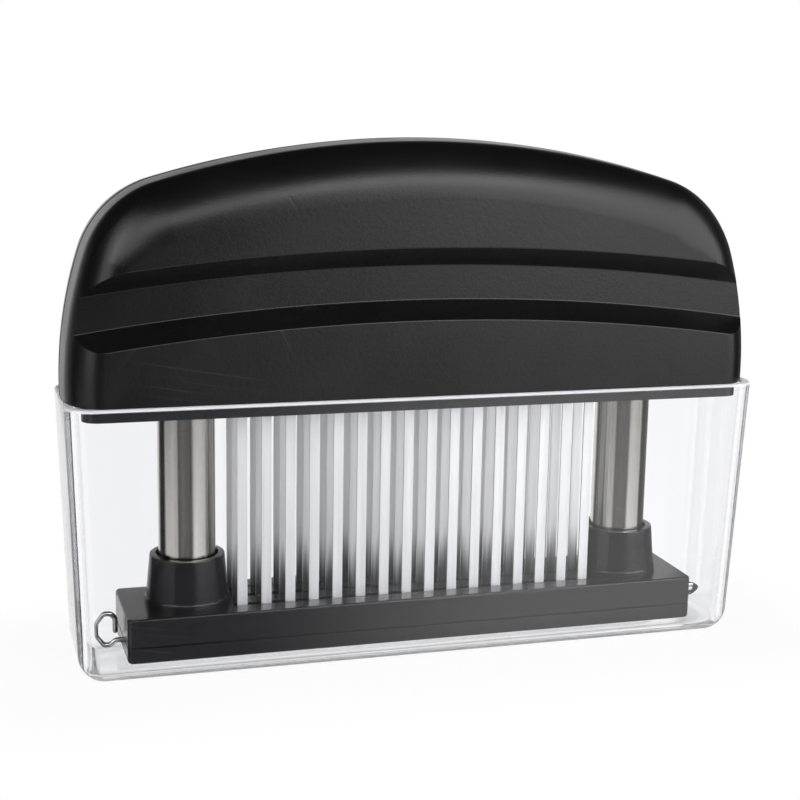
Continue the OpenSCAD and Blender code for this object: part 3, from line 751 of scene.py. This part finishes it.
def foot_bar(name, z0, z1, split_below, steps=4):
    """Half of the foot: a flat bar with a rolled edge, and a fine gap where it meets the other half."""
    quarter = [pi / 2 * i / steps for i in range(steps + 1)]
    outside = [(foot_edge * (1 - sin(a)), foot_edge * (1 - cos(a))) for a in quarter]
    split = [(split_deep, 0), (split_deep, split_gap)]
    split += [(split_edge * (1 - sin(a)), split_gap + split_edge * (1 - cos(a))) for a in quarter]
    low, top = (split, outside) if split_below else (outside, split)
    rings = [(d, z0 + h) for d, h in low] + [(d, z1 - h) for d, h in reversed(top)]
    return loft(name, [at_height(rounded_rect(foot_half_l - d, foot_half_w - d, foot_corner_r - d), z)
                       for d, z in rings])


def cut_slots(piece, z0, z1):
    """The three slots that the blade rows pass through."""
    for y in (-row_gap, 0, row_gap):
        slot = [(x, y + dy) for x, dy in rounded_rect(slot_half_l, slot_half_w, slot_corner_r, 4)]
        cut(piece, loft("slot", [at_height(slot, z) for z in (z0 - beyond, z1 + beyond)]))


guide = foot_bar("foot_guide_half", guide_low.z, foot_top, split_below=True)
for side in (-1, 1):
    centre = (side * post_x, 0)
    base, rim_r = socket_base_r, socket_rim_r
    combine(guide, turned("socket", [
        (post_r - beyond, foot_top - beyond), (base + socket_lip, foot_top - beyond),
        (base + socket_lip, foot_top + collar_h), (base + socket_lip * 0.7, foot_top + collar_bend),
        (base, foot_top + collar_end), (rim_r, socket_top - socket_lip),
        (rim_r - socket_lip * 0.3, socket_top - socket_lip * 0.3), (rim_r - socket_lip, socket_top),
        (post_r - beyond, socket_top)], centre), "UNION")
    cut(guide, rod("bore", centre, [
        (bore_r, guide_low.z - beyond), (bore_r, socket_top - mouth_h),
        (bore_r + mouth_flare, socket_top - mouth_h), (bore_r + mouth_flare, socket_top + beyond)]))
cut_slots(guide, guide_low.z, foot_top)
stand_in_for(paint(soften(guide, foot_bevel), foot_black), "foot_guide", "foot")

sole = foot_bar("foot_sole_half", sole_low.z, sole_high.z, split_below=False)
for side in (-1, 1):
    through = [(bore_r, sole_low.z - beyond), (bore_r, sole_high.z + beyond)]
    cut(sole, rod("bore", (side * post_x, 0), through))
cut_slots(sole, sole_low.z, sole_high.z)


# ---------------------------------------------------------------- ring pins

pin_z = sole_low.z + (sole_high.z - sole_low.z) / 2
pin_wire_r = 0.55 * MM
pin_bend = 1.05 * MM
pin_out = pin_high.x - pin_wire_r - foot_half_l
pin_ring_h = 6.8 * MM
pin_drop = 0.9 * MM
right_ring_tip = radians(50)
ring_end = 2.1 * MM
shank_l = foot_half_l - pin_low.x
pin_hole_past = 2 * MM  # how far its hole runs past the post


def bent_path(corners, bend, steps=7):
    """Points along straight runs with each corner rounded to the same bend."""
    path = [corners[0]]
    for before, corner, after in zip(corners, corners[1:], corners[2:]):
        path += fillet(before, corner, after, bend, steps)
    return path + [corners[-1]]


neck, slope, ring_corner = 1.3 * MM, 1 * MM, 0.3 * pin_ring_h
ring_low, ring_high = -pin_drop, pin_ring_h - pin_drop
pin_corners = [
    (-shank_l + pin_wire_r, 0), (neck, 0), (neck + slope, ring_low), (pin_out - ring_corner, ring_low),
    (pin_out, ring_low + ring_corner), (pin_out, ring_high - ring_corner),
    (pin_out - ring_corner, ring_high), (neck + slope, ring_high), (neck, ring_high - slope),
    (neck, ring_end)]
for side, label in ((-1, "left"), (1, "right")):
    path = [(side * (foot_half_l + x), 0, pin_z + z) for x, z in bent_path(pin_corners, pin_bend)]
    hole = wire("pin_hole", [(side * (post_x - post_r - pin_hole_past), 0, pin_z),
                             (side * (foot_half_l + beyond), 0, pin_z)], pin_wire_r + running_fit, 24)
    cut(sole, hole)
    ring = wire("ring_pin_wire_" + label, path, pin_wire_r)
    if label == "right":
        pivot = Matrix.Translation((0, 0, pin_z))
        ring.data.transform(pivot @ Matrix.Rotation(right_ring_tip, 4, "X") @ pivot.inverted())
    soften(ring, 0, crease=60)
    stand_in_for(paint(ring, pin_steel), "ring_pin_" + label, "ring_pin_" + label)
stand_in_for(paint(soften(sole, foot_bevel), foot_black), "foot_sole", "foot")


# ---------------------------------------------------------------- springs in the posts

spring_wire_r = 0.45 * MM
spring_turns = 22
spring_r = 3.65 * MM
rod_head_h = 1.2 * MM
seat_z = rod_high.z - rod_head_h
spring_low = plug_high.z + spring_wire_r
spring_high = seat_z - spring_wire_r
end_rise = 1.4 * MM
steps_per_turn = 20


def spring_height(turn):
    """Height of the wire's middle after a number of turns: one flat turn at each end."""
    if turn < 1:
        return spring_low + end_rise * turn
    if turn > spring_turns - 1:
        return spring_high - end_rise * (spring_turns - turn)
    coiled = spring_high - spring_low - 2 * end_rise
    return spring_low + end_rise + coiled * (turn - 1) / (spring_turns - 2)


for side, label in ((-1, "left"), (1, "right")):
    path = []
    for i in range(spring_turns * steps_per_turn + 1):
        a = 2 * pi * i / steps_per_turn
        height = spring_height(i / steps_per_turn)
        path.append((side * post_x + spring_r * cos(a), spring_r * sin(a), height))
    coil = soften(wire("spring_coil_" + label, path, spring_wire_r, 8), 0, crease=60)
    stand_in_for(paint(coil, spring_steel), "spring_" + label, "handle")
    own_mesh(coil)


# ---------------------------------------------------------------- floor, world and lamps


def white_rays(tree):
    """Two masks: rays straight from the camera, and rays that have passed 1 to 3 faces of the cover."""
    rays = put(tree, "LightPath").outputs
    bounces = calc(tree, "ADD", rays["Diffuse Depth"], rays["Glossy Depth"])
    straight = calc(tree, "LESS_THAN", bounces, 0.5)
    faces = rays["Transmission Depth"]
    entered = calc(tree, "GREATER_THAN", faces, 0.5)
    in_wall = calc(tree, "MULTIPLY", entered, calc(tree, "LESS_THAN", faces, 3.5))
    in_wall = calc(tree, "MULTIPLY", in_wall, calc(tree, "LESS_THAN", rays["Diffuse Depth"], 0.5))
    return straight, in_wall


def make_floor():
    """White floor that keeps the part's shadow. Metal and gloss don't mirror it.

    The less white stretch near the cover's footprint lets the shadow show there.
    """
    half = 4.0
    fade = 0.035
    near_white = 0.93
    bm = bmesh.new()
    corners = [(-half, -half), (half, -half), (half, half), (-half, half)]
    bm.faces.new([bm.verts.new((x, y, 0)) for x, y in corners])
    floor = new_piece("floor", bm)
    material, tree, surface = start_material("white_floor")
    surface.inputs["Base Color"].default_value = (0.93, 0.93, 0.93, 1)
    surface.inputs["Roughness"].default_value = 0.8
    surface.inputs["Specular IOR Level"].default_value = 0.0
    at = put(tree, "TexCoord").outputs["Object"]
    apart = put(tree, "VectorMath", {0: at}, operation="ABSOLUTE").outputs[0]
    footprint = (cover_high.x, cover_high.y, 0)
    apart = put(tree, "VectorMath", {0: apart, 1: footprint}, operation="SUBTRACT").outputs[0]
    apart = put(tree, "VectorMath", {0: apart, 1: (0, 0, 0)}, operation="MAXIMUM").outputs[0]
    away = put(tree, "VectorMath", {0: apart}, operation="LENGTH").outputs["Value"]
    white = ramp(tree, away, 0.0, fade, near_white, 1.0)
    glow = put(tree, "Emission", {"Color": (1, 1, 1, 1), "Strength": 1.0})
    share = calc(tree, "MULTIPLY", calc(tree, "MAXIMUM", *white_rays(tree)), white)
    mixed = put(tree, "MixShader", {0: share, 1: surface.outputs[0], 2: glow.outputs[0]})
    mirrored = calc(tree, "GREATER_THAN", put(tree, "LightPath").outputs["Glossy Depth"], 0.5)
    unseen = put(tree, "BsdfTransparent")
    mixed = put(tree, "MixShader", {0: mirrored, 1: mixed.outputs[0], 2: unseen.outputs[0]})
    tree.links.new(mixed.outputs[0], tree.nodes["Material Output"].inputs["Surface"])
    floor.data.materials.append(material)
    floor.visible_glossy = False
    floor.visible_shadow = False


def make_world():
    """White all round for the camera. Metal, gloss and shade see a plain studio of soft boxes."""
    world = bpy.data.worlds.new("studio")
    bpy.context.scene.world = world
    world.use_nodes = True
    tree = world.node_tree
    tree.nodes.clear()
    towards = put(tree, "SeparateXYZ", {0: put(tree, "TexCoord").outputs["Generated"]}).outputs
    forwards = calc(tree, "MULTIPLY", towards["Y"], -1.0)
    turn = calc(tree, "MULTIPLY", calc(tree, "ARCTAN2", towards["X"], forwards), 180 / pi)
    height = calc(tree, "MULTIPLY", calc(tree, "ARCSINE", towards["Z"]), 180 / pi)

    def soft_box(turn0, turn1, height0, height1, soft, strength):
        """Light between two turns from the front, to the right being positive, and two heights.

        Angles are in degrees. soft is half the width of its faded edge.
        """
        sides = calc(tree, "MULTIPLY", ramp(tree, turn, turn0 - soft, turn0 + soft),
                     ramp(tree, turn, turn1 + soft, turn1 - soft))
        tall = calc(tree, "MULTIPLY", ramp(tree, height, height0 - soft, height0 + soft),
                    ramp(tree, height, height1 + soft, height1 - soft))
        return calc(tree, "MULTIPLY", calc(tree, "MULTIPLY", sides, tall), strength)

    behind = ramp(tree, towards["Y"], 0.72, 0.9)
    low_sky = ramp(tree, height, 30.0, 12.0)
    backdrop = calc(tree, "MULTIPLY", calc(tree, "MULTIPLY", behind, low_sky), 0.95)
    boxes = [
        soft_box(16, 73, -70, -12, 7, 1.05),  # right, low
        soft_box(-104, -44, -70, -12, 3, 0.75),  # left, low
        soft_box(-80, -46, -6, 50, 3, 1.5),  # left, level and up
        soft_box(-62, 32, 26, 46, 6, 2.4),  # in front, above
        soft_box(-40, 6, -70, -10, 8, 0.14),  # in front, low, faint
        soft_box(108, 145, -60, 20, 8, 0.1),  # right, behind, faint
        backdrop,
    ]
    level = 0.02
    for box in boxes:
        level = calc(tree, "ADD", level, box)
    straight, in_wall = white_rays(tree)
    in_wall = calc(tree, "MULTIPLY", in_wall, ramp(tree, towards["Y"], -0.75, -0.45))
    strength = calc(tree, "MAXIMUM", calc(tree, "MAXIMUM", straight, in_wall), level)
    out = put(tree, "OutputWorld")
    sky = put(tree, "Background", {"Color": (1, 1, 1, 1), "Strength": strength})
    tree.links.new(sky.outputs[0], out.inputs["Surface"])
    world.cycles.sampling_method = "NONE"


def soft_lamp(name, place_at, aim, size, watts):
    """Flat lamp of a size that points at aim and isn't seen itself."""
    lamp = bpy.data.lights.new(name, "AREA")
    lamp.shape = "RECTANGLE"
    lamp.size, lamp.size_y = size
    lamp.energy = watts
    holder = bpy.data.objects.new(name, lamp)
    holder.location = place_at
    holder.rotation_euler = (Vector(aim) - Vector(place_at)).to_track_quat("-Z", "Y").to_euler()
    bpy.context.scene.collection.objects.link(holder)
    holder.visible_camera = False


make_floor()
make_world()
soft_lamp("front_lamp", (0.64, -0.69, 0.4), (0, 0, 0.06), (1.2, 0.98), 8.6)


# ---------------------------------------------------------------- camera


def make_camera():
    """Where the photograph was taken from: turn and pitch of its line of sight, and its roll."""
    place_at = Vector((-0.10156, -0.32719, 0.12403))
    turn, pitch, roll = radians(-16.93), radians(11.38), radians(1.06)
    ahead = Vector((-sin(turn) * cos(pitch), cos(turn) * cos(pitch), -sin(pitch)))
    right = ahead.cross(Vector((0, 0, 1))).normalized()
    up = right.cross(ahead)
    side = right * cos(roll) + up * sin(roll)
    top = up * cos(roll) - right * sin(roll)
    data = bpy.data.cameras.new("camera")
    data.lens = 72.63
    data.sensor_width = 36
    data.shift_x = -0.00415
    data.shift_y = -0.0040
    data.clip_start = 0.01
    camera = bpy.data.objects.new("camera", data)
    camera.matrix_world = Matrix((
        (side.x, top.x, -ahead.x, place_at.x),
        (side.y, top.y, -ahead.y, place_at.y),
        (side.z, top.z, -ahead.z, place_at.z),
        (0, 0, 0, 1)))
    bpy.context.scene.collection.objects.link(camera)
    bpy.context.scene.camera = camera


make_camera()
bpy.context.scene.view_settings.view_transform = "Standard"
